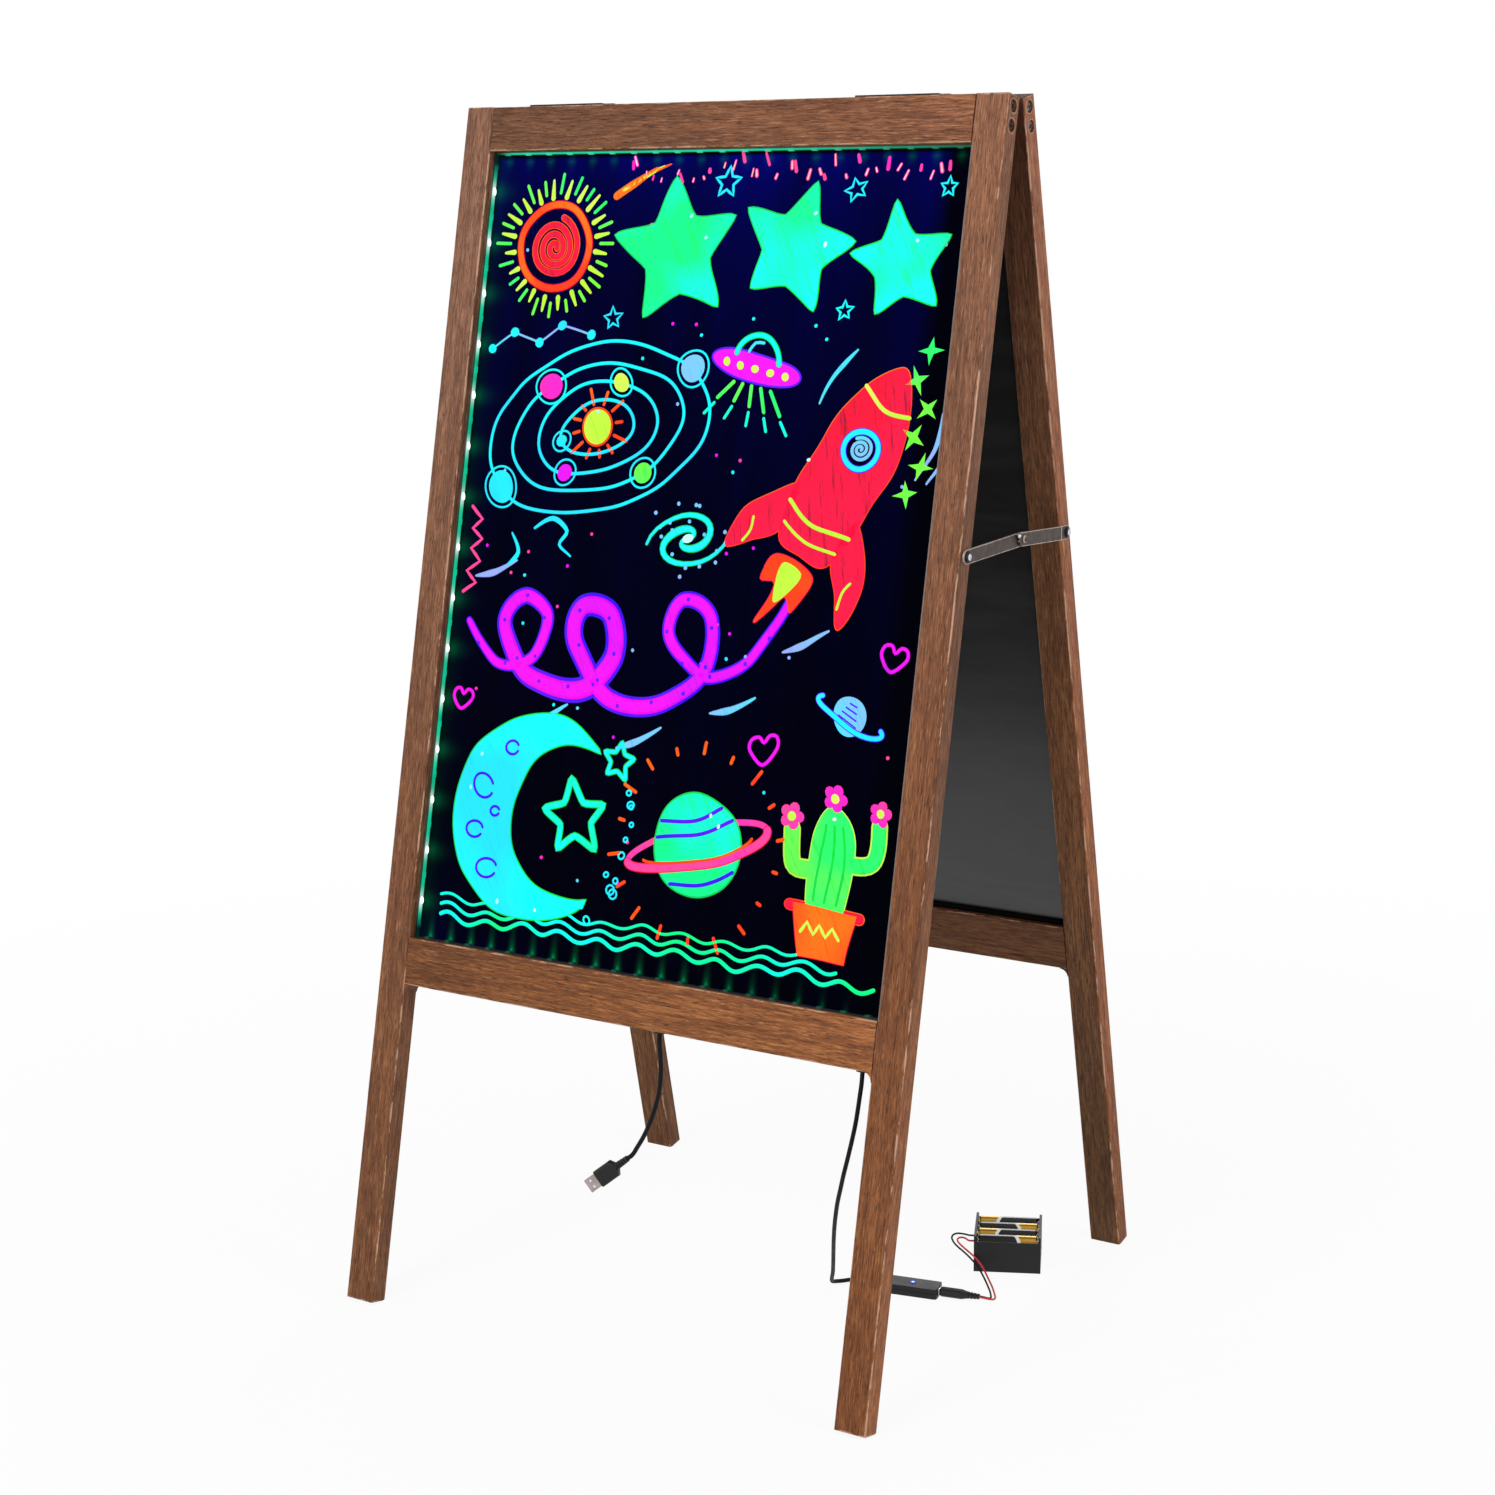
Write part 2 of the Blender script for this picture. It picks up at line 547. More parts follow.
# Each ink's two tones, its scribbled tone and how thin it ran
inks = {name: ink_finish(f"{name} ink", *tones) for name, tones in {
    "cyan green": ((0, 255, 240), (0, 255, 140), (20, 235, 60), 0.5),
    "green rim": ((0, 225, 60), (0, 200, 90), (0, 120, 40), 0.2),
    "cyan": ((0, 255, 255), (30, 225, 255), (0, 200, 235), 0.3),
    "pale blue": ((70, 225, 250), (150, 170, 245), (40, 160, 235), 0.4),
    "red": ((255, 0, 52), (255, 8, 66), (128, 4, 40), 0.75, 0.2),
    "magenta": ((255, 0, 236), (228, 0, 246), (150, 20, 200), 0.5),
    "violet": ((96, 20, 255), (60, 10, 255), (40, 0, 200), 0.3),
    "pink": ((255, 30, 200), (255, 70, 150), (220, 0, 150), 0.3),
    "orange": ((255, 120, 10), (255, 60, 10), (220, 30, 0), 0.4),
    "yellow": ((215, 255, 90), (190, 245, 60), (140, 210, 30), 0.4),
    "cream": ((255, 222, 200), (255, 196, 186), (255, 120, 200), 0.5),
    "glint": ((226, 255, 252), (160, 255, 250), (90, 255, 240), 0.4),
    "leaf green": ((40, 255, 110), (120, 255, 60), (0, 190, 60), 0.5),
}.items()}

# How each board differs from the common stain at its low or left end and at its high or right end
stains = {
    "front_right_stile": ((1.16, 0.99, 0.79), (1.22, 1.1, 0.99)),
    "front_left_stile": ((0.77, 0.74, 0.72), (0.84, 0.81, 0.84)),
    "front_top_rail": ((0.5, 0.42, 0.31), (1.04, 0.84, 0.64)),
    "front_bottom_rail": ((0.68, 0.58, 0.39), (1.32, 1.15, 0.88)),
    "rear_right_stile": ((1.08, 0.84, 0.56), (1.18, 0.97, 0.88)),
    "rear_left_stile": ((0.64, 0.61, 0.5), (0.78, 0.76, 0.7)),
    "rear_top_rail": ((0.85, 0.8, 0.75), (0.85, 0.8, 0.75)),
    "rear_bottom_rail": ((0.56, 0.5, 0.4), (0.56, 0.5, 0.4)),
}
members = {
    "right_stile": ((242, WOOD_MIDDLE, -510.9), (14, 9, 508), "z"),
    "left_stile": ((-242, WOOD_MIDDLE, -510.9), (14, 9, 508), "z"),
    "top_rail": ((0, WOOD_MIDDLE, -21.4), (260, 9, 18.5), "x"),
    "bottom_rail": ((0, WOOD_MIDDLE, -725.9), (260, 9, 20), "x"),
}
finishes = {}
for side_name, side in (("front", 1), ("rear", -1)):
    for member, (middle, half, along) in members.items():
        board = f"{side_name}_{member}"
        finishes[board] = wood(f"stained wood {board}", middle, half, side, along, stains[board])
corner_wood = {
    f"{name}_frame": wood(f"stained wood {name} corners", (0, WOOD_MIDDLE, -738), (260, 9, 40), side, "x",
                          stains[f"{name}_bottom_rail"]) for name, side in (("front", 1), ("rear", -1))
}

black_plastic = moulded("black moulded plastic", tone(18, 18, 19), roughness=0.42, specular=0.3)
cord_jacket = moulded("cord jacket", tone(13, 13, 14), roughness=0.6, grain=1500, specular=0.14)
red_jacket = moulded("red lead jacket", tone(205, 34, 44), roughness=0.4)
pale_plastic = moulded("pale plastic", tone(240, 240, 242), roughness=0.35)
black_steel = moulded("blackened washer", tone(16, 16, 17), roughness=0.5, specular=0.2)
matt_black = moulded("matt black bead", tone(6, 6, 6), roughness=0.8, specular=0.05)
hinge_bronze = metal("dark bronzed hinge", tone(42, 31, 27), tone(70, 54, 46), roughness=0.55)
bright = metal("bright steel", tone(196, 196, 198), tone(226, 226, 228), roughness=0.24)
plug_steel = metal("plug shell steel", tone(160, 148, 146), tone(190, 178, 174), roughness=0.3)
dark_steel = metal("greyed steel", tone(92, 92, 98), tone(150, 148, 150), roughness=0.36)
browned_steel = metal("browned steel", tone(66, 52, 45), tone(140, 120, 108), roughness=0.45)
stay_finishes = {
    "front_link": stay_finish("bronzed front link", FRONT_PIVOT, KNEE, 0.0055),
    "rear_link": stay_finish("bronzed rear link", KNEE, REAR_PIVOT, 0.0055, 0.008, 0.0655, 0.0699),
    "knee_rivet": stay_finish("bronzed rivet", KNEE, KNEE, 0.0027),
    "front_screw": screw_finish("front stay screw", FRONT_PIVOT),
    "rear_screw": screw_finish("rear stay screw", REAR_PIVOT),
}
upright_strip = strip_finish("upright lit strip", "upright")
finishes.update({
    "writing_panel": panel_finish(),
    "panel_backing": moulded("black backing board", tone(30, 29, 29), roughness=0.7, grain=900,
                             depth=0.00008),
    "chalkboard_panel": slate_finish(),
    "usb_plug_shell": plug_steel,
    "usb_plug_tongue": pale_plastic,
    "light_strip_top": strip_finish("top lit strip", "top"),
    "light_strip_bottom": strip_finish("bottom strip", "bottom"),
    "light_strip_right": upright_strip,
    "light_strip_left": upright_strip,
    "controller_button": button_finish(),
    "controller_board": moulded("circuit board", tone(24, 92, 58)),
})
cells = cell_finish()
for name, node in nodes.items():
    if name.startswith("hinge_"):
        finishes[name] = hinge_bronze
    elif name.startswith("stay_"):
        finishes[name] = stay_finishes["_".join(name.split("_")[2:])]
    elif name.startswith("battery_cell_"):
        finishes[name] = cells
    node.data.materials.clear()
    node.data.materials.append(finishes.get(name, black_plastic))


# Modelling helpers

def deselect():
    bpy.ops.object.select_all(action="DESELECT")


def only(*pieces):
    """Selects these pieces and nothing else, the first one active."""
    deselect()
    for piece in pieces:
        piece.select_set(True)
    bpy.context.view_layer.objects.active = pieces[0]


def started(primitive, **settings):
    """A new primitive, started with nothing else selected."""
    deselect()
    primitive(**settings)
    return bpy.context.active_object


def apply_place():
    bpy.ops.object.transform_apply(location=True, rotation=True, scale=True)


def open_whole(piece):
    """Opens the piece with all of it selected."""
    only(piece)
    bpy.ops.object.mode_set(mode="EDIT")
    bpy.ops.mesh.select_all(action="SELECT")


def open_faces(piece, wanted):
    """Opens the piece with the faces that pass selected."""
    only(piece)
    bpy.ops.object.mode_set(mode="EDIT")
    bpy.ops.mesh.select_mode(type="FACE")
    bpy.ops.mesh.select_all(action="DESELECT")
    bpy.ops.object.mode_set(mode="OBJECT")
    for face in piece.data.polygons:
        face.select = wanted(face.center, face.normal)
    bpy.ops.object.mode_set(mode="EDIT")


def close_edit():
    bpy.ops.object.mode_set(mode="OBJECT")


def joined(pieces):
    only(*pieces)
    if len(pieces) > 1:
        bpy.ops.object.join()
    return pieces[0]


def as_mesh(piece):
    only(piece)
    bpy.ops.object.convert(target="MESH")
    return bpy.context.active_object


def cut_away(piece, cutter, name):
    """Takes the cutter's shape out of the piece."""
    cut = piece.modifiers.new(name, "BOOLEAN")
    cut.operation = "DIFFERENCE"
    cut.object = cutter
    only(piece)
    bpy.ops.object.modifier_apply(modifier=name)
    bpy.data.objects.remove(cutter)


def settle(piece, name, material, body, smooth=40):
    """Names, paints and shades a finished piece, and lets it ride on its body."""
    piece.name = name
    piece.data.name = name
    piece.data.materials.clear()
    piece.data.materials.append(material)
    only(piece)
    apply_place()
    if smooth:
        bpy.ops.object.shade_smooth_by_angle(angle=math.radians(smooth))
    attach(piece, body)


def copies(source, places):
    """Copies of a piece at each place, each with its own mesh, joined into one."""
    made = []
    for place in places:
        copy = linked(source.name, source.data.copy())
        copy.data.transform(place)
        made.append(copy)
    bpy.data.objects.remove(source)
    return joined(made)


def aimed(place, direction, spin=0.0):
    """The matrix that stands a piece at a place with its +Z along a direction."""
    turn = Vector((0, 0, 1)).rotation_difference(Vector(direction)).to_matrix().to_4x4()
    return Matrix.Translation(place) @ turn @ Matrix.Rotation(spin, 4, "Z")


def block(place, size, matrix, rounded=True):
    """A box whose middle and size are in millimetres, set by a matrix."""
    piece = started(bpy.ops.mesh.primitive_cube_add, size=1)
    open_whole(piece)
    bpy.ops.transform.resize(value=Vector(size) * MM)
    if rounded:
        bpy.ops.mesh.bevel(offset=min(size) * 0.2 * MM, segments=2)
    close_edit()
    piece.data.transform(matrix @ Matrix.Translation(Vector(place) * MM))
    return piece


def half_ball(radius, segments, rings):
    """The upper half of a ball, its radius in millimetres."""
    ball = started(bpy.ops.mesh.primitive_uv_sphere_add, segments=segments, ring_count=rings,
                   radius=radius * MM)
    open_faces(ball, lambda centre, normal: centre.z < -0.0001 * MM)
    bpy.ops.mesh.delete(type="FACE")
    close_edit()
    return ball


def cross_head(radius, height, wall=0.4):
    """A pan head with a cross recess, standing on the origin along +Z. wall is its straight share."""
    head = started(bpy.ops.mesh.primitive_cylinder_add, vertices=28, radius=radius, depth=height * wall,
                   location=(0, 0, height * wall / 2))
    bpy.ops.object.transform_apply(location=True)
    open_faces(head, lambda centre, normal: normal.z > 0.9)
    bpy.ops.mesh.inset(thickness=radius * 0.16, depth=height * (1 - wall) * 0.57)
    bpy.ops.mesh.inset(thickness=radius * 0.3, depth=height * (1 - wall) * 0.43)
    close_edit()
    for turn in (0, math.pi / 2):
        recess = started(bpy.ops.mesh.primitive_cube_add, size=1, location=(0, 0, height * 1.05),
                         rotation=(0, 0, turn))
        recess.scale = (radius * 1.15, radius * 0.26, height * 1.1)
        apply_place()
        cut_away(head, recess, "recess")
    return head


# Cords: runs of places in millimetres, from where each leaves the rail or its plug

def cord_line(name, route, diameter, material):
    data = bpy.data.curves.new(name, "CURVE")
    data.dimensions = "3D"
    data.bevel_depth = diameter / 2 * MM
    data.bevel_resolution = 5
    data.resolution_u = 10
    data.use_fill_caps = True
    line = data.splines.new("BEZIER")
    line.bezier_points.add(len(route) - 1)
    for point, place in zip(line.bezier_points, route):
        point.co = Vector(place) * MM
        point.handle_left_type = point.handle_right_type = "AUTO"
    piece = linked(name, data)
    data.materials.append(material)
    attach(piece, "front_frame")
    return piece


def run_of(route):
    return sum(math.dist(first, second) for first, second in zip(route, route[1:])) * MM


usb_route = [
    (28, -167.6, 272.8), (28, -168.7, 267.9), (28, -169.2, 265.4), (29, -171.2, 259), (30.4, -172.2, 250.4),
    (31.1, -172.6, 240.5), (30.6, -172.6, 230.4), (28.8, -172.2, 219), (25.6, -171.6, 208.2),
    (21.4, -170.9, 197.4), (16.5, -170.1, 186.8), (11, -169.7, 176.4), (4.8, -169.8, 166.4),
    (-0.52, -170.45, 158.34), (-3.85, -171.29, 155.57),
]
power_route = [
    (215.4, -167.6, 272.8), (215.4, -168.7, 267.9), (215.4, -169.2, 265.4), (215.8, -171.2, 258),
    (214.6, -172, 247.2), (212.8, -171.8, 236.4), (210.6, -171.3, 225.3), (207.5, -170.1, 213.9),
    (203.5, -167.9, 201.9), (198.6, -164.4, 189.2), (192.6, -159.2, 175.8), (185.6, -151.8, 161.2),
    (177.1, -141.9, 145.5), (167.5, -128.9, 128.2), (156.4, -112.4, 109.3), (143.5, -91.9, 88.4),
    (128.3, -66.9, 65.1), (110.1, -36.8, 38.9), (99.5, -19.6, 24.6), (92.2, -8.6, 15.2), (87.4, -1, 8.8),
    (84.8, 5, 4.6), (84.8, 11, 2.5), (87.9, 15.6, 1.9), (92.8, 18, 2.9), (97.8, 19.1, 4), (102.7, 20.06, 4.5),
]
red_route = [
    (208.34, 40.52, 4.5), (213.1, 41.6, 4.2), (216.8, 43.9, 3.2), (218.1, 48.1, 2), (216.7, 53.4, 1.2),
    (212.8, 59.9, 1), (207.7, 67.4, 1), (202.4, 74.6, 1), (196.7, 81.7, 1.2), (191.2, 87.7, 2.6),
    (185.8, 92, 6), (180.3, 94.2, 10.4), (174.7, 94.9, 14.6), (169, 94.8, 18.2), (163.3, 95.2, 21.2),
    (158.7, 97, 23), (155.4, 99.9, 23.9), (154.2, 103.6, 24.4), (156, 106.7, 24.5), (159.8, 107, 24.1),
    (163.4, 105.8, 23.5), (168.8, 108.35, 23.5),
]
black_route = [
    (207.94, 42.48, 4.5), (211.1, 43.6, 4), (213.8, 46.1, 2.8), (214.1, 50, 1.6), (211.5, 55.5, 1),
    (206.7, 63.1, 1), (201.3, 70.4, 1), (195.8, 77.5, 1.2), (190, 84, 2.4), (184.2, 88.6, 5.4),
    (178, 91.6, 9.4), (171.3, 93.2, 13.6), (164.4, 94.3, 17.4), (157.6, 95.6, 20.4), (151.3, 99.2, 22.8),
    (147.4, 105.2, 24.4), (148.3, 111.7, 24.8), (153.4, 115.2, 24.2), (158.2, 116.55, 23.6),
    (163.6, 119.1, 23.5),
]
usb_line = cord_line("usb_cord_line", usb_route, 3.8, cord_jacket)
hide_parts("usb_cord")
run_of(usb_route)
power_line = cord_line("power_cord_line", power_route, 3.5, cord_jacket)
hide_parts("power_cord")
run_of(power_route)
red_line = cord_line("red_lead_line", red_route, 1.6, red_jacket)
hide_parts("red_lead")
run_of(red_route)
black_line = cord_line("black_lead_line", black_route, 1.6, cord_jacket)
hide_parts("black_lead")
run_of(black_route)


# The drawing on the writing panel, in millimetres from the panel's middle

PANEL = Matrix.Translation(front(0, -8.02, BOARD_MIDDLE)) @ Matrix((
    (1, 0, 0, 0), (0, math.sin(LEAN), -math.cos(LEAN), 0), (0, math.cos(LEAN), math.sin(LEAN), 0),
    (0, 0, 0, 1),
)) @ Matrix.Scale(MM, 4)


def smooth_line(points, closed=False, step=3.0):
    """A soft line through the points, in short even steps."""
    count = len(points)
    result = []
    for index in range(count if closed else count - 1):
        if closed:
            a, b, c, d = (points[(index + shift) % count] for shift in (-1, 0, 1, 2))
        else:
            a, d = points[max(index - 1, 0)], points[min(index + 2, count - 1)]
            b, c = points[index], points[index + 1]
        pieces = max(2, int(math.dist(b, c) / step))
        for part in range(pieces):
            t = part / pieces
            result.append(tuple(
                0.5 * (2 * b[k] + (c[k] - a[k]) * t + (2 * a[k] - 5 * b[k] + 4 * c[k] - d[k]) * t * t
                       + (3 * b[k] - a[k] - 3 * c[k] + d[k]) * t ** 3) for k in (0, 1)))
    return result if closed else result + [tuple(points[-1])]


def straight_line(points, closed=False, step=4.0):
    result = []
    for a, b in zip(points, points[1:] + points[:1] if closed else points[1:]):
        pieces = max(1, int(math.dist(a, b) / step))
        result += [(a[0] + (b[0] - a[0]) * k / pieces, a[1] + (b[1] - a[1]) * k / pieces)
                   for k in range(pieces)]
    return result if closed else result + [tuple(points[-1])]


def turned(points, x, y, tilt, grow=1.0):
    """Points drawn about the origin, turned and set at a place."""
    turn = math.radians(tilt)
    return [(x + grow * (a * math.cos(turn) - b * math.sin(turn)),
             y + grow * (a * math.sin(turn) + b * math.cos(turn))) for a, b in points]


def ring(x, y, across, up=None, tilt=0.0, start=0.0, end=360.0, wobble=0.0):
    """Points round an ellipse, or part of one."""
    up = across if up is None else up
    count = max(10, int(abs(end - start) / 360 * 2 * math.pi * max(across, up) / 3))
    phase = random.uniform(0, 6)
    result = []
    for index in range(count + 1):
        angle = math.radians(start + (end - start) * index / count)
        swell = 1 + wobble * math.sin(3 * angle + phase)
        result.append((across * swell * math.cos(angle), up * swell * math.sin(angle)))
    return turned(result[:-1] if abs(end - start) >= 360 else result, x, y, tilt)


def star(x, y, outer, inner, tilt=0.0, points=5):
    result = []
    for index in range(2 * points):
        radius = (outer if index % 2 == 0 else inner) * random.uniform(0.95, 1.05)
        angle = math.radians(90 + tilt + index * 180 / points)
        result.append((x + radius * math.cos(angle), y + radius * math.sin(angle)))
    return result


def wave(x0, x1, y, height, count):
    steps = count * 8
    return [(x0 + (x1 - x0) * k / steps, y + height * math.sin(2 * math.pi * k * count / steps))
            for k in range(steps + 1)]


def spiral(x, y, inner, outer, turns):
    count = int(turns * 26)
    result = []
    for k in range(count + 1):
        angle = 2 * math.pi * turns * k / count
        radius = inner + (outer - inner) * k / count
        result.append((x + radius * math.cos(angle), y + radius * math.sin(angle)))
    return result


def rays(x, y, inner, outer, count, start=0.0, end=360.0, uneven=0.0):
    result = []
    for k in range(count):
        angle = math.radians(start + (end - start) * (k + 0.5) / count)
        far = outer * (1 + random.uniform(-uneven, uneven))
        result.append([(x + inner * math.cos(angle), y + inner * math.sin(angle)),
                       (x + far * math.cos(angle), y + far * math.sin(angle))])
    return result


def blunt(points, share=0.14):
    """A closed shape with its corners rounded off, as a broad pen leaves them."""
    result = []
    for before, corner, after in zip(points[-1:] + points[:-1], points, points[1:] + points[:1]):
        for other in (before, after):
            result.append(tuple(corner[k] + share * (other[k] - corner[k]) for k in (0, 1)))
    return smooth_line(result, closed=True, step=5)


def unsteady(place):
    """A place on the panel as an unsteady hand sets it."""
    u, v = place
    return (u + 1.5 * math.sin(v / 17 + 1.3) + 0.7 * math.sin(u / 9 + v / 13),
            v + 1.5 * math.sin(u / 19 + 0.7) + 0.7 * math.sin(v / 8 - u / 15))


# Half the thickness of a pen line and the step between layers, in millimetres
PEN_HALF, LAYER_STEP = 0.08, 0.1
sheets = {}


def stroke(ink, points, width, layer=1, closed=False, taper=None):
    """A pen line with round ends. taper gives the width's share at both ends."""
    sheets.setdefault((ink, layer), ([], []))[0].append((points, width, closed, taper))


def fill(ink, outline, layer=1, holes=()):
    sheets.setdefault((ink, layer), ([], []))[1].append((outline, holes))


def rimmed_fill(ink, rim, outline, rim_width=1.6, layer=2, holes=()):
    """A filled shape with a thin rim of another ink showing round it."""
    for loop in (outline, *holes):
        stroke(rim, loop, rim_width, layer=layer - 1, closed=True)
    fill(ink, outline, layer=layer, holes=holes)


def rimmed_line(ink, rim, points, width, layer=2, closed=False, rim_width=1.5, taper=None):
    stroke(rim, points, width + rim_width, layer=layer - 1, closed=closed, taper=taper)
    stroke(ink, points, width, layer=layer, closed=closed, taper=taper)


def rounded_ends(points, widths):
    """Adds the small steps that round a line off at both ends."""
    def cap(end, beyond, half):
        length = math.dist(end, beyond) or 1
        aim = ((end[0] - beyond[0]) / length, (end[1] - beyond[1]) / length)
        return [((end[0] + aim[0] * half * math.sin(angle), end[1] + aim[1] * half * math.sin(angle)),
                 half * math.cos(angle)) for angle in (0.6, 1.1, 1.5)]
    first = cap(points[0], points[1], widths[0])[::-1]
    last = cap(points[-1], points[-2], widths[-1])
    return ([place for place, _ in first] + list(points) + [place for place, _ in last],
            [half for _, half in first] + list(widths) + [half for _, half in last])


def tapered(width, count, taper):
    """The half widths along a line of so many points."""
    widths = [width / 2] * count
    if taper:
        for k in range(count):
            share = k / (count - 1)
            widths[k] *= taper[0] + (1 - taper[0]) * min(1, share * 3) if share < 0.34 else (
                taper[1] + (1 - taper[1]) * min(1, (1 - share) * 1.6))
    return widths


def add_loop(data, points, widths, closed):
    line = data.splines.new("POLY")
    line.points.add(len(points) - 1)
    line.use_cyclic_u = closed
    for point, place, half in zip(line.points, points, widths):
        point.co = (*unsteady(place), 0, 1)
        point.radius = half


def lay_ink(ink, layer, lines, fills):
    """Makes one piece of all lines and fills of an ink on a layer."""
    name = f"drawing_{ink.replace(' ', '_')}_{layer}"
    parts = []
    if lines:
        data = bpy.data.curves.new(name, "CURVE")
        data.dimensions = "3D"
        data.bevel_depth = 1.0
        data.bevel_resolution = 1
        data.use_fill_caps = True
        for points, width, closed, taper in lines:
            widths = tapered(width, len(points), taper)
            add_loop(data, *((points, widths) if closed else rounded_ends(points, widths)), closed)
        piece = as_mesh(linked(name, data))
        for corner in piece.data.vertices:
            corner.co.z = max(-PEN_HALF, min(PEN_HALF, corner.co.z * 0.12))
        parts.append(piece)
    for outline, holes in fills:
        data = bpy.data.curves.new(name, "CURVE")
        data.dimensions = "2D"
        data.fill_mode = "BOTH"
        data.extrude = 0.1
        for loop in (outline, *holes):
            add_loop(data, loop, [1.0] * len(loop), True)
        parts.append(as_mesh(linked(name, data)))
    piece = joined(parts)
    piece.data.transform(PANEL @ Matrix.Translation((0, 0, 0.12 + LAYER_STEP * layer)))
    settle(piece, name, inks[ink], "front_frame", smooth=0)


def draw_sky():
    """Stars, sparks and a comet across the top."""
    for x, y, outer, inner, tilt in ((-36, 252, 64, 32, 8), (76, 256, 55, 28, -14), (172, 244, 48, 24, 10)):
        rimmed_fill("cyan green", "green rim", blunt(star(x, y, outer, inner, tilt)), rim_width=2.4)
    for x, y, size, tilt in ((6, 306, 12, 0), (126, 300, 10, 20), (206, 304, 8, 0), (-92, 196, 9, 12),
                             (126, 206, 8, 4)):
        stroke("cyan", straight_line(star(x, y, size, size * 0.45, tilt), closed=True), 2.4, closed=True)
    for k in range(34):
        x = -92 + k * 9 + random.uniform(-3, 3)
        y = 316 + random.uniform(-8, 6)
        reach = random.uniform(2, 9)
        angle = math.radians(90 + random.uniform(-28, 28))
        dash = [(x, y), (x + reach * math.cos(angle), y + reach * math.sin(angle))]
        width = random.uniform(2.6, 5.2)
        stroke("pink", dash, width, taper=(0.7, 0.6))
        if k % 3:
            stroke("cream", dash, width * 0.45, layer=2, taper=(0.7, 0.6))
    for k, (ink, width) in enumerate((("orange", 7), ("yellow", 5), ("orange", 4))):
        tail = [(-100 + 6 * k, 296 + 5 * k), (-86 + 6 * k, 306 + 4 * k), (-64 + 6 * k, 320 + 2 * k)]
        stroke(ink, smooth_line(tail), width, taper=(1, 0.3))


def draw_sun():
    """A spiral sun with two rings of dashes, at the top left."""
    x, y = -158, 256
    rimmed_line("red", "orange", spiral(x, y, 2, 25, 3.2), 4.6, layer=3, rim_width=1.6)
    rimmed_line("orange", "red", ring(x, y, 35, wobble=0.02), 5.4, closed=True)
    for lines in rays(x, y, 42, 54, 20, uneven=0.05):
        stroke("yellow", lines, 4.6, layer=2, taper=(1, 0.5))
    for lines in rays(x, y, 46, 58, 20, start=9, end=369, uneven=0.05):
        stroke("leaf green", lines, 2.8, layer=2)


def draw_orbits():
    """A thin-lined solar system on the left, with a constellation above it."""
    x, y, tilt = -98, 106, 14
    for reach, squeeze in ((110, 0.62), (85, 0.6), (60, 0.62), (36, 0.6)):
        stroke("cyan", ring(x, y, reach, reach * squeeze, tilt=tilt, wobble=0.012), 2.8, closed=True)
    rimmed_fill("yellow", "orange", ring(x, y, 14), rim_width=4)
    for lines in rays(x, y, 19, 28, 12, uneven=0.15):
        stroke("orange", lines, 2.8)
    for reach, squeeze, angle, size, ink in (
            (110, 0.62, 24, 11, "pale blue"), (110, 0.62, 205, 13, "cyan"), (85, 0.6, 118, 11, "pink"),
            (85, 0.6, 300, 8, "leaf green"), (60, 0.62, 60, 8, "yellow"), (36, 0.6, 190, 5, "cyan"),
            (60, 0.62, 236, 7.5, "magenta")):
        angle = math.radians(angle)
        place = turned([(reach * math.cos(angle), reach * squeeze * math.sin(angle))], x, y, tilt)[0]
        fill(ink, ring(*place, size), layer=3)
        stroke("cyan", ring(*place, size + 3.6), 1.8, layer=2, closed=True)
    spots = [(-212, 168), (-190, 184), (-164, 176), (-142, 190), (-112, 182)]
    stroke("pale blue", straight_line(spots), 1.8)
    for place in spots:
        fill("cyan", ring(*place, 4.2), layer=2)


def draw_saucer():
    """A flying saucer with a striped beam, right of the middle."""
    def set_out(points):
        return turned(points, 52, 160, -9)

    rimmed_fill("magenta", "violet", set_out(ring(0, 0, 42, 11)), rim_width=3.6)
    rimmed_line("cyan", "green rim", set_out(ring(0, 5, 20, 21, start=8, end=172)), 3.6, layer=4)
    stroke("pale blue", set_out(smooth_line([(-9, 12), (-6, 19), (1, 21)])), 2.6, layer=4)
    for k in (-2, -1, 0, 1, 2):
        fill("yellow", set_out(ring(14 * k, -0.6 * abs(k), 3.4)), layer=3)
    for k in (-2, -1, 0, 1, 2):
        stroke("leaf green", set_out([(9 * k, -15), (15 * k, -31)]), 3.2)
        stroke("cyan green", set_out([(16 * k, -36), (20 * k, -46)]), 2.6)


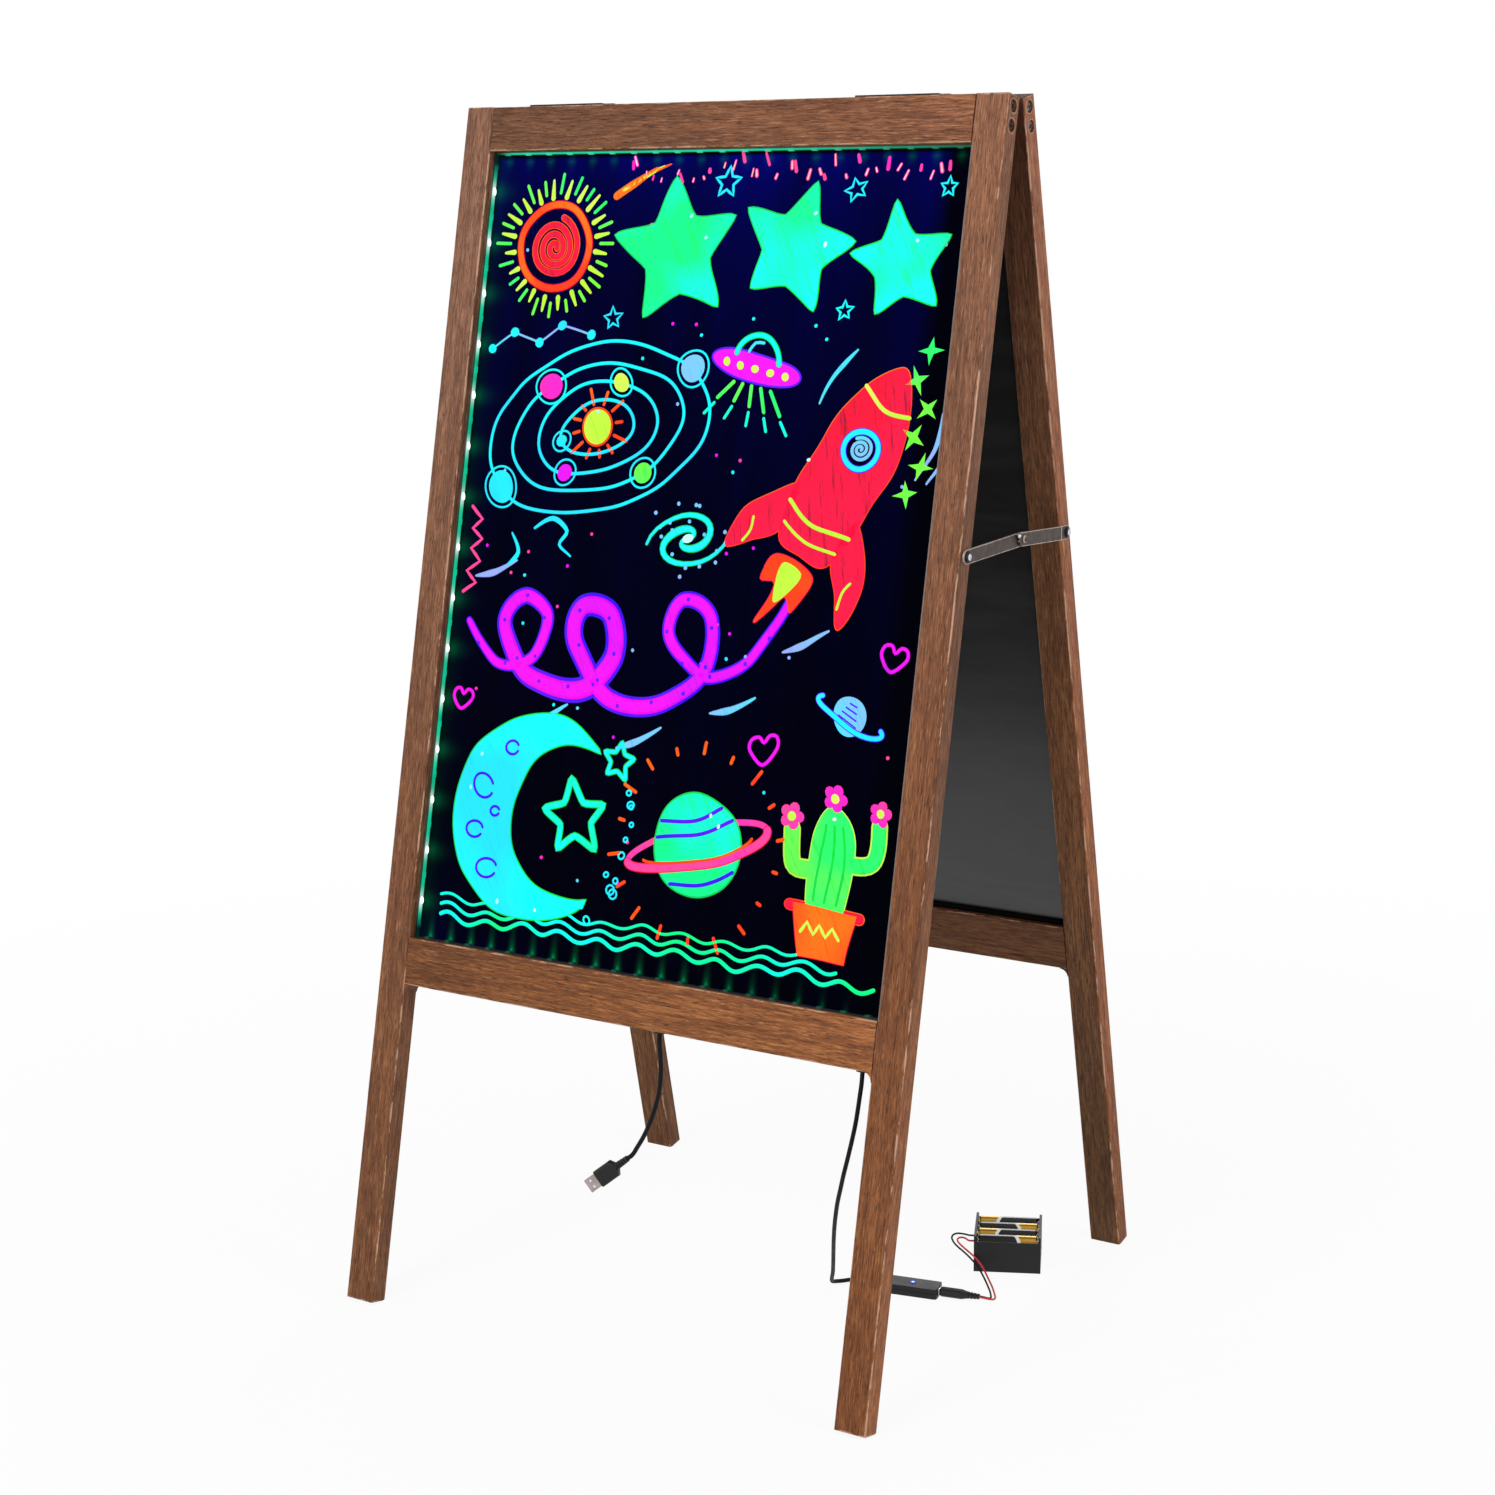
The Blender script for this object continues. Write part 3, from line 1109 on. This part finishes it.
def draw_rocket():
    """A red rocket with its flame, leaning to the right."""
    def shape(points):
        return turned(smooth_line(points, closed=True), 138, 70, -28)

    def set_out(points):
        return turned(points, 138, 70, -28)

    port = ring(0, 32, 15)
    hull = [(0, 106), (23, 74), (34, 34), (34, -14), (25, -58), (0, -64), (-25, -58), (-34, -14), (-34, 34),
            (-23, 74)]
    rimmed_fill("red", "orange", shape(hull), holes=[set_out(port)])
    for hand in (-1, 1):
        fin = [(31 * hand, -16), (62 * hand, -54), (64 * hand, -92), (46 * hand, -74), (27 * hand, -52)]
        rimmed_fill("red", "orange", shape(fin))
    rimmed_line("cyan", "violet", set_out(ring(0, 32, 15)), 4.2, closed=True, layer=4)
    stroke("pale blue", set_out(spiral(0, 32, 1, 10, 2.4)), 2.8, layer=3)
    for path, width in (([(-22, 76), (0, 70), (22, 76)], 3.4), ([(-31, -30), (0, -38), (31, -30)], 3.4),
                        ([(-27, -46), (0, -53), (27, -46)], 2.6), ([(-52, -58), (-50, -68), (-53, -80)], 2.2),
                        ([(52, -58), (50, -68), (53, -80)], 2.2)):
        stroke("yellow", set_out(smooth_line(path)), width, layer=3)
    flame = [(-19, -72), (-22, -96), (-8, -92), (-4, -126), (6, -96), (20, -104), (19, -72)]
    rimmed_fill("orange", "red", shape(flame))
    fill("yellow", shape([(-9, -74), (-9, -88), (0, -104), (9, -88), (9, -74)]), layer=3)
    for path in ([(-44, 96), (-52, 70), (-52, 44)], [(46, 92), (54, 66), (55, 40)],
                 [(58, 82), (66, 60), (66, 42)]):
        stroke("pale blue", set_out(smooth_line(path)), 4.0, taper=(0.4, 0.4))


def draw_ribbon():
    """The rocket's trail: a broad magenta ribbon that loops off to the left, with violet edges."""
    spine = smooth_line([
        (-206, -62), (-176, -92), (-138, -84), (-126, -52), (-150, -34), (-170, -58), (-144, -100),
        (-92, -110), (-58, -80), (-62, -44), (-90, -42), (-96, -72), (-60, -112), (-6, -112), (34, -80),
        (34, -40), (6, -30), (-4, -58), (30, -88), (72, -70), (98, -36), (112, -6)], step=2.5)
    rimmed_line("magenta", "violet", spine, 15.0, rim_width=6.0, taper=(0.35, 0.4))
    for a, b in ((-186, -14), (-118, -132), (-24, -142), (60, -108), (124, -52)):
        speed_line = smooth_line([(a - 20, b - 9), (a, b - 3), (a + 20, b + 9)])
        stroke("pale blue", speed_line, 6.0, taper=(0.3, 0.3))
    for k in range(26):
        x, y = spine[8 + k * (len(spine) - 16) // 26]
        stroke("violet", ring(x + random.uniform(-3, 3), y + random.uniform(-3, 3), 1.0), 1.4, layer=3,
               closed=True)


def draw_moon():
    """A large cyan crescent with craters and a star in its arms, low on the left."""
    x, y = -118, -218
    outer = ring(x, y, 86, start=48, end=312)
    inner = ring(x + 38, y, 64, start=290, end=70)
    rimmed_fill("cyan", "green rim", outer + inner, rim_width=2.4)
    for dx, dy, size in ((-58, 22, 11), (-62, -16, 8), (-44, -46, 10), (-30, 56, 7), (-44, 2, 5)):
        stroke("violet", ring(x + dx, y + dy, size, size * 0.86, start=20, end=330), 2.4, layer=3)
    rimmed_line("cyan green", "green rim", blunt(star(x + 38, y + 4, 32, 15, 12)), 5.0, closed=True)
    rimmed_line("cyan", "green rim", blunt(star(x + 78, y + 56, 16, 8, -8)), 3.2, closed=True)
    for _ in range(12):
        angle = random.uniform(-0.9, 0.9)
        far = random.uniform(84, 100)
        bubble = ring(x + far * math.cos(angle), y + far * math.sin(angle), random.uniform(1.6, 3.8))
        stroke("cyan", bubble, 1.8, closed=True)


def draw_planet():
    """A banded planet with a broad ring, low in the middle."""
    x, y, tilt = 42, -222, 18
    stroke("pink", ring(x, y, 66, 15, tilt=tilt, start=-12, end=192), 5.0)
    rimmed_fill("cyan green", "green rim", ring(x, y, 41), rim_width=3.0, layer=3)
    for drop, reach in ((26, 30), (14, 37), (-26, 30)):
        belt = smooth_line([(-reach, drop), (0, drop - 6), (reach, drop)])
        stroke("violet", turned(belt, x, y, tilt), 3.2, layer=4)
    rimmed_line("pink", "red", ring(x, y, 66, 15, tilt=tilt, start=180, end=360), 6.4, layer=5)
    stroke("orange", ring(x, y - 1, 52, 11, tilt=tilt, start=190, end=350), 2.6, layer=5)
    for lines in rays(x, y, 74, 82, 18, uneven=0.06):
        stroke("orange", lines, 3.0)


def draw_garden():
    """Potted cactus with flowers on the right, and waves along the bottom."""
    x, y = 166, -216
    trunk = [(x - 17, y - 40), (x - 19, y + 16), (x, y + 40), (x + 19, y + 16), (x + 17, y - 40)]
    rimmed_fill("leaf green", "yellow", smooth_line(trunk))
    for arm, width in (([(x - 16, y - 12), (x - 34, y - 10), (x - 38, y + 18)], 13),
                       ([(x + 16, y - 2), (x + 36, y + 2), (x + 39, y + 30)], 12)):
        rimmed_line("leaf green", "yellow", smooth_line(arm), width, rim_width=2.6)
    for k in (-10, 0, 10):
        rib = smooth_line([(x + k, y - 36), (x + k * 1.1, y), (x + k * 0.8, y + 24)])
        stroke("green rim", rib, 2.2, layer=3)
    for a, b in ((x, y + 46), (x - 39, y + 27), (x + 40, y + 39)):
        for angle in range(0, 360, 72):
            angle = math.radians(angle)
            fill("pink", ring(a + 6.2 * math.cos(angle), b + 6.2 * math.sin(angle), 4.4), layer=3)
        fill("yellow", ring(a, b, 3.6), layer=4)
    pot = [(x - 29, y - 40), (x + 29, y - 40), (x + 21, y - 80), (x - 21, y - 80)]
    rimmed_fill("orange", "red", straight_line(pot, closed=True, step=8))
    rimmed_line("red", "orange", [(x - 32, y - 42), (x, y - 42), (x + 32, y - 42)], 8)
    zigzag = straight_line([(x - 20 + 6 * k, y - 61 + (8 if k % 2 else 0)) for k in range(7)])
    stroke("yellow", zigzag, 2.8, layer=3)
    for k in range(3):
        ripple = wave(-208, 214 - 34 * k, -311 + 8 * k, 3.2 - 0.5 * k, 11 - k)
        stroke("cyan green", smooth_line(ripple), 3.4 - 0.5 * k)


def draw_galaxy():
    """A two-armed galaxy in the middle, a small ringed planet on the right and two scribbles on the left."""
    x, y = 2, 20
    for start in (0, 180):
        arm = [(a, 0.62 * b) for a, b in turned(spiral(0, 0, 5, 40, 0.95), 0, 0, start)]
        rimmed_line("cyan", "green rim", turned(arm, x, y, 16), 5.6, taper=(0.5, 0.4))
    fill("glint", ring(x, y, 5.5, 3.8, tilt=16), layer=3)
    for k in range(22):
        angle, reach = random.uniform(0, 2 * math.pi), random.uniform(14, 46)
        speck = ring(x + reach * math.cos(angle), y + 0.66 * reach * math.sin(angle), 0.9)
        stroke("pale blue", speck, 1.6, closed=True)
    x, y = 168, -106
    fill("pale blue", ring(x, y, 15), layer=2)
    rimmed_line("cyan", "violet", ring(x, y, 32, 8, tilt=-20, start=-205, end=25), 3.6, layer=4)
    for k in range(5):
        height = -9 + 4.5 * k
        stroke("violet", turned([(-11 + 2 * k, height), (11 - 2 * k, height)], x, y, -20), 1.4, layer=3)
    for path in ([(-150, 22), (-132, 30), (-118, 20), (-124, 8), (-112, -2)],
                 [(-176, -12), (-166, 2), (-174, 16)]):
        stroke("cyan", smooth_line(path), 4.4, taper=(0.5, 0.4))


def draw_glints():
    """Thick white spots where the pen paused."""
    for x, y in ((-24, 282), (-8, 262), (92, 284), (104, 258), (186, 262), (-178, -170), (-190, -200),
                 (-148, -290), (-110, -296), (52, -196), (60, -204), (166, -186), (-98, 118), (108, 90)):
        spot = ring(x, y, random.uniform(0.6, 1.8), 0.7, tilt=random.uniform(0, 90))
        stroke("glint", spot, 1.5, layer=6, closed=True)


def draw_margins():
    """Scribbles, hearts and sparks along the sides."""
    zigzag = [(-216 + (11 if k % 2 else 0), 34 - 9 * k) for k in range(9)]
    stroke("pink", straight_line(zigzag, step=6), 3.0)
    heart = smooth_line([(0, -12), (13, 1), (12, 11), (5, 13), (0, 7), (-5, 13), (-12, 11), (-13, 1)],
                        closed=True, step=2)
    for x, y, size, tilt in ((204, -58, 0.8, -10), (-206, -128, 0.7, 0), (96, -140, 0.9, 8)):
        stroke("magenta", turned(heart, x, y, tilt, size), 3.0, closed=True)
    for k in range(6):
        spark = star(208 - (k % 2) * 10, 178 - 22 * k, 11, 3.6, 20 * k, points=4)
        fill("leaf green", blunt(spark, 0.08), layer=2)
    for k in range(60):
        x, y = random.uniform(-212, 212), random.uniform(-290, 300)
        ink = random.choice(("pink", "cyan", "pale blue", "magenta"))
        stroke(ink, ring(x, y, 0.8), 1.4, closed=True)


for draw in (draw_sky, draw_sun, draw_orbits, draw_saucer, draw_rocket, draw_ribbon, draw_moon, draw_planet,
             draw_garden, draw_galaxy, draw_glints, draw_margins):
    draw()
for (ink, layer), (lines, fills) in sheets.items():
    lay_ink(ink, layer, lines, fills)


# Screws, washers, lights and contacts, their sizes and places in millimetres

def add_joint_screws():
    """The heads sunk in the stiles' outer sides, two at each top corner."""
    seat, radius, height = 251.03, 4.2, 4.3
    for body, place_of, side in FRAMES:
        spots = [aimed(place_of(hand * seat, WOOD_MIDDLE, -drop), (hand, 0, 0), random.uniform(0, 1.5))
                 for hand, _ in HANDS for drop in JOINT_DROPS]
        piece = copies(cross_head(radius * MM, height * MM, wall=0.72), spots)
        settle(piece, f"joint_screws_{body}", browned_steel if side > 0 else dark_steel, body)


def add_leaf_screws():
    """Three screws in each hinge leaf."""
    leaf_middle, leaf_depth, leaf_top, spacing = 157, -10.2, -1.05, 28.5
    for body, place_of, _ in FRAMES:
        up = (place_of(0, 0, 1) - place_of(0, 0, 0)).normalized()
        spots = [aimed(place_of(hand * leaf_middle + along, leaf_depth, leaf_top), up, random.uniform(0, 1.5))
                 for hand, _ in HANDS for along in (-spacing, 0, spacing)]
        piece = copies(cross_head(2.9 * MM, 1.3 * MM), spots)
        settle(piece, f"leaf_screws_{body}", hinge_bronze, body)


def add_lights():
    """A small dome on each chip of the upright light strips."""
    chip_side, chip_middle, chips_each_way = 225.8, -10.8, 7
    dome = half_ball(2.0, 10, 6)
    dome.data.transform(Matrix.Diagonal((1.7, 1, 0.4, 1)))
    spots = [aimed(front(hand * chip_side, chip_middle, BOARD_MIDDLE + UPRIGHT_PITCH / MM * k), (-hand, 0, 0))
             for hand in (-1, 1) for k in range(-chips_each_way, chips_each_way + 1)]
    settle(copies(dome, spots), "upright_light_domes", dome_finish(), "front_frame", smooth=60)


def add_washers():
    """A thin black washer between each stay screw's head and its link."""
    hole_radius, outer_share, thickness, seat = 2.2, 2.14, 0.24, 257.93
    for hand, hand_name in HANDS:
        for end, (y, z) in (("front", FRONT_PIVOT), ("rear", REAR_PIVOT)):
            washer = started(bpy.ops.mesh.primitive_circle_add, vertices=28, radius=hole_radius * MM,
                             fill_type="NOTHING")
            open_whole(washer)
            bpy.ops.mesh.extrude_edges_move()
            bpy.ops.transform.resize(value=(outer_share, outer_share, 1))
            bpy.ops.mesh.select_all(action="SELECT")
            bpy.ops.mesh.extrude_region_move(TRANSFORM_OT_translate={"value": (0, 0, thickness * MM)})
            bpy.ops.mesh.select_all(action="SELECT")
            bpy.ops.mesh.normals_make_consistent(inside=False)
            close_edit()
            washer.data.transform(aimed(Vector((hand * seat * MM, y, z)), (hand, 0, 0)))
            settle(washer, f"stay_washer_{hand_name}_{end}", black_steel, f"{hand_name}_stay_{end}_half")


def add_corner_fillets():
    """The small round in the wood where each bottom rail's underside meets a stile."""
    radius, rail_foot, stile_side, thickness = 7, -745.9, 228, 17.9
    for body, place_of, side in FRAMES:
        place = Matrix.Translation(place_of(0, 0, 0)) @ Matrix.Rotation(-side * LEAN, 4, "X")
        pieces = []
        for hand, _ in HANDS:
            corner = block((hand * (stile_side - radius / 2), side * WOOD_MIDDLE, rail_foot - radius / 2),
                           (radius, thickness, radius), place, rounded=False)
            hollow = started(bpy.ops.mesh.primitive_cylinder_add, vertices=48, radius=radius * MM,
                             depth=30 * MM, rotation=(math.pi / 2, 0, 0))
            apply_place()
            hollow.data.transform(place @ Matrix.Translation(
                Vector((hand * (stile_side - radius), side * WOOD_MIDDLE, rail_foot - radius)) * MM))
            cut_away(corner, hollow, "round")
            pieces.append(corner)
        settle(joined(pieces), f"corner_fillets_{body}", corner_wood[body], body, smooth=30)


def add_board_bead():
    """The black bead that holds the chalkboard's bottom edge."""
    place = Matrix.Translation(rear(0, 0, 0)) @ Matrix.Rotation(LEAN, 4, "X")
    bead = block((0, 7.95, -703.7), (455, 3, 4.2), place)
    settle(bead, "chalkboard_bead", matt_black, "rear_frame")


def add_knee_bosses():
    """The small bright pin beside each stay's knee."""
    for hand, hand_name in HANDS:
        boss = half_ball(1.7, 16, 8)
        boss.data.transform(aimed(Vector((hand * 259.75, -3.7, 661.6)) * MM, (hand, 0, 0)))
        settle(boss, f"stay_boss_{hand_name}", bright, f"{hand_name}_stay_front_half",
               smooth=60)


def cell_spring(end, y, height):
    """A conical spring of two and a half turns against a cell's flat end, the left one at -1 or the right
    one at 1."""
    steps, foot_radius, top_radius, rise, foot = 30, 4.4, 2.5, 1.7, 26.4
    data = bpy.data.curves.new("cell_spring", "CURVE")
    data.dimensions = "3D"
    data.bevel_depth = 0.3 * MM
    data.bevel_resolution = 1
    line = data.splines.new("POLY")
    line.points.add(steps)
    for k, point in enumerate(line.points):
        angle, share = k * math.pi / 6, k / steps
        reach = foot_radius + (top_radius - foot_radius) * share
        x = CELL_MIDDLE + end * (foot - rise * share)
        spot = Vector((x, y + reach * math.cos(angle), height + reach * math.sin(angle))) * MM
        point.co = (*spot, 1)
    return as_mesh(linked("cell_spring", data))


def add_cell_contacts():
    """Conical springs at the flat ends of the cells and contact plates at their nubs."""
    plate_reach, upper, lower = 26.5, 23.8, 7.6
    place = Matrix.Translation(HOLDER_CORNER) @ Matrix.Rotation(HOLDER_TURN, 4, "Z")
    plates, springs = [], []
    for level, height in enumerate((upper, lower)):
        for bay in range(4):
            y = CELL_ROW + CELL_PITCH * bay
            nub_end = 1 if (bay + level) % 2 == 0 else -1
            plates.append(block((CELL_MIDDLE + nub_end * plate_reach, y, height), (0.4, 9, 9), place))
            spring = cell_spring(-nub_end, y, height)
            spring.data.transform(place)
            springs.append(spring)
    settle(joined(plates), "cell_plates", bright, "front_frame")
    settle(joined(springs), "cell_springs", bright, "front_frame", smooth=60)


def add_plug_metal():
    """Socket rims at both ends of the controller and the spring tabs in the USB shell's windows."""
    relief_end, relief = (-4.3, -171.4, 155.2), 12
    plug_aim, plug_side = (-0.756, -0.189, -0.627), (0.55, -0.75, 0.35)
    place = Matrix.Translation(CONTROLLER_END) @ Matrix.Rotation(CONTROLLER_TURN, 4, "Z")
    rims = [block((x, 0, 4.5), (1.0, 8.6, 6.4), place) for x in (47.65, -0.65)]
    settle(joined(rims), "socket_rims", bright, "front_frame")
    pointing = Vector(plug_aim).normalized()
    across = Vector(plug_side).cross(pointing).normalized()
    turn = Matrix((across, pointing.cross(across), pointing)).transposed().to_4x4()
    plug = Matrix.Translation(Vector(relief_end) * MM + pointing * relief * MM) @ turn
    tabs = [block((x, 1.95, 26.8), (2.2, 0.3, 2.2), plug) for x in (-2.7, 2.7)]
    settle(joined(tabs), "usb_window_tabs", pale_plastic, "front_frame")


add_corner_fillets()
add_board_bead()
add_knee_bosses()
add_cell_contacts()
add_plug_metal()
add_joint_screws()
add_leaf_screws()
add_washers()
add_lights()


# Floor, world and lamps

def placed(tree, kind, **values):
    """A new node with its inputs set by name."""
    node = tree.nodes.new("ShaderNode" + kind)
    for name, value in values.items():
        node.inputs[name.replace("_", " ")].default_value = value
    return node


def mixed(tree, share, unseen, seen, out):
    """Shows the first shader to the light and the second to the eye, by a share."""
    mix = placed(tree, "MixShader")
    for socket, source in zip(mix.inputs, (share, unseen.outputs[0], seen.outputs[0])):
        tree.links.new(source, socket)
    tree.links.new(mix.outputs[0], placed(tree, out).inputs["Surface"])


def seen_rays(tree):
    """1 for rays that see the thing itself, straight, mirrored or through something, and 0 for its light."""
    path = placed(tree, "LightPath")
    either = path.outputs["Is Camera Ray"]
    for kind in ("Is Glossy Ray", "Is Transmission Ray"):
        node = placed(tree, "Math")
        node.operation = "MAXIMUM"
        tree.links.new(either, node.inputs[0])
        tree.links.new(path.outputs[kind], node.inputs[1])
        either = node.outputs[0]
    return either


def add_floor():
    """A pale floor that keeps the shadow near the sign and fades to white away from it."""
    floor = started(bpy.ops.mesh.primitive_plane_add, size=60, location=(0, 0, 0))
    floor.name = "floor"
    material = bpy.data.materials.new("pale floor")
    material.use_nodes = True
    tree = material.node_tree
    tree.nodes.clear()
    reach = placed(tree, "VectorMath")
    reach.operation = "LENGTH"
    spread = placed(tree, "MapRange", From_Min=0.4, From_Max=1.7, To_Min=0.92, To_Max=1.0)
    share = placed(tree, "Math")
    share.operation = "MULTIPLY"
    tree.links.new(placed(tree, "TexCoord").outputs["Object"], reach.inputs[0])
    tree.links.new(reach.outputs["Value"], spread.inputs["Value"])
    tree.links.new(seen_rays(tree), share.inputs[0])
    tree.links.new(spread.outputs["Result"], share.inputs[1])
    mixed(tree, share.outputs[0], placed(tree, "BsdfDiffuse", Color=(0.85, 0.85, 0.85, 1)),
          placed(tree, "Emission", Color=(1, 1, 1, 1), Strength=1.0), "OutputMaterial")
    floor.data.materials.append(material)


def light_world():
    world = bpy.data.worlds.new("studio")
    bpy.context.scene.world = world
    world.use_nodes = True
    tree = world.node_tree
    tree.nodes.clear()
    mixed(tree, seen_rays(tree), placed(tree, "Background", Color=(1, 1, 1, 1), Strength=0.36),
          placed(tree, "Background", Color=(1, 1, 1, 1), Strength=1.0), "OutputWorld")


def add_lamp(name, place, target, size, power):
    data = bpy.data.lights.new(name, "AREA")
    data.shape = "RECTANGLE"
    data.size = data.size_y = size
    data.energy = power
    lamp = linked(name, data)
    lamp.location = place
    lamp.rotation_euler = (Vector(target) - Vector(place)).to_track_quat("-Z", "Y").to_euler()


add_floor()
light_world()
SIGN_MIDDLE = (0, 0, 0.5)
add_lamp("key", (-0.4, -3.2, 2.3), SIGN_MIDDLE, 1.4, 66)
add_lamp("fill", (-2.9, -0.9, 2.2), SIGN_MIDDLE, 1.6, 14)
add_lamp("side", (3.1, -0.2, 1.5), SIGN_MIDDLE, 1.4, 38)
add_lamp("back", (-0.6, 3.0, 2.4), SIGN_MIDDLE, 1.6, 30)
bpy.context.scene.view_settings.view_transform = "Standard"
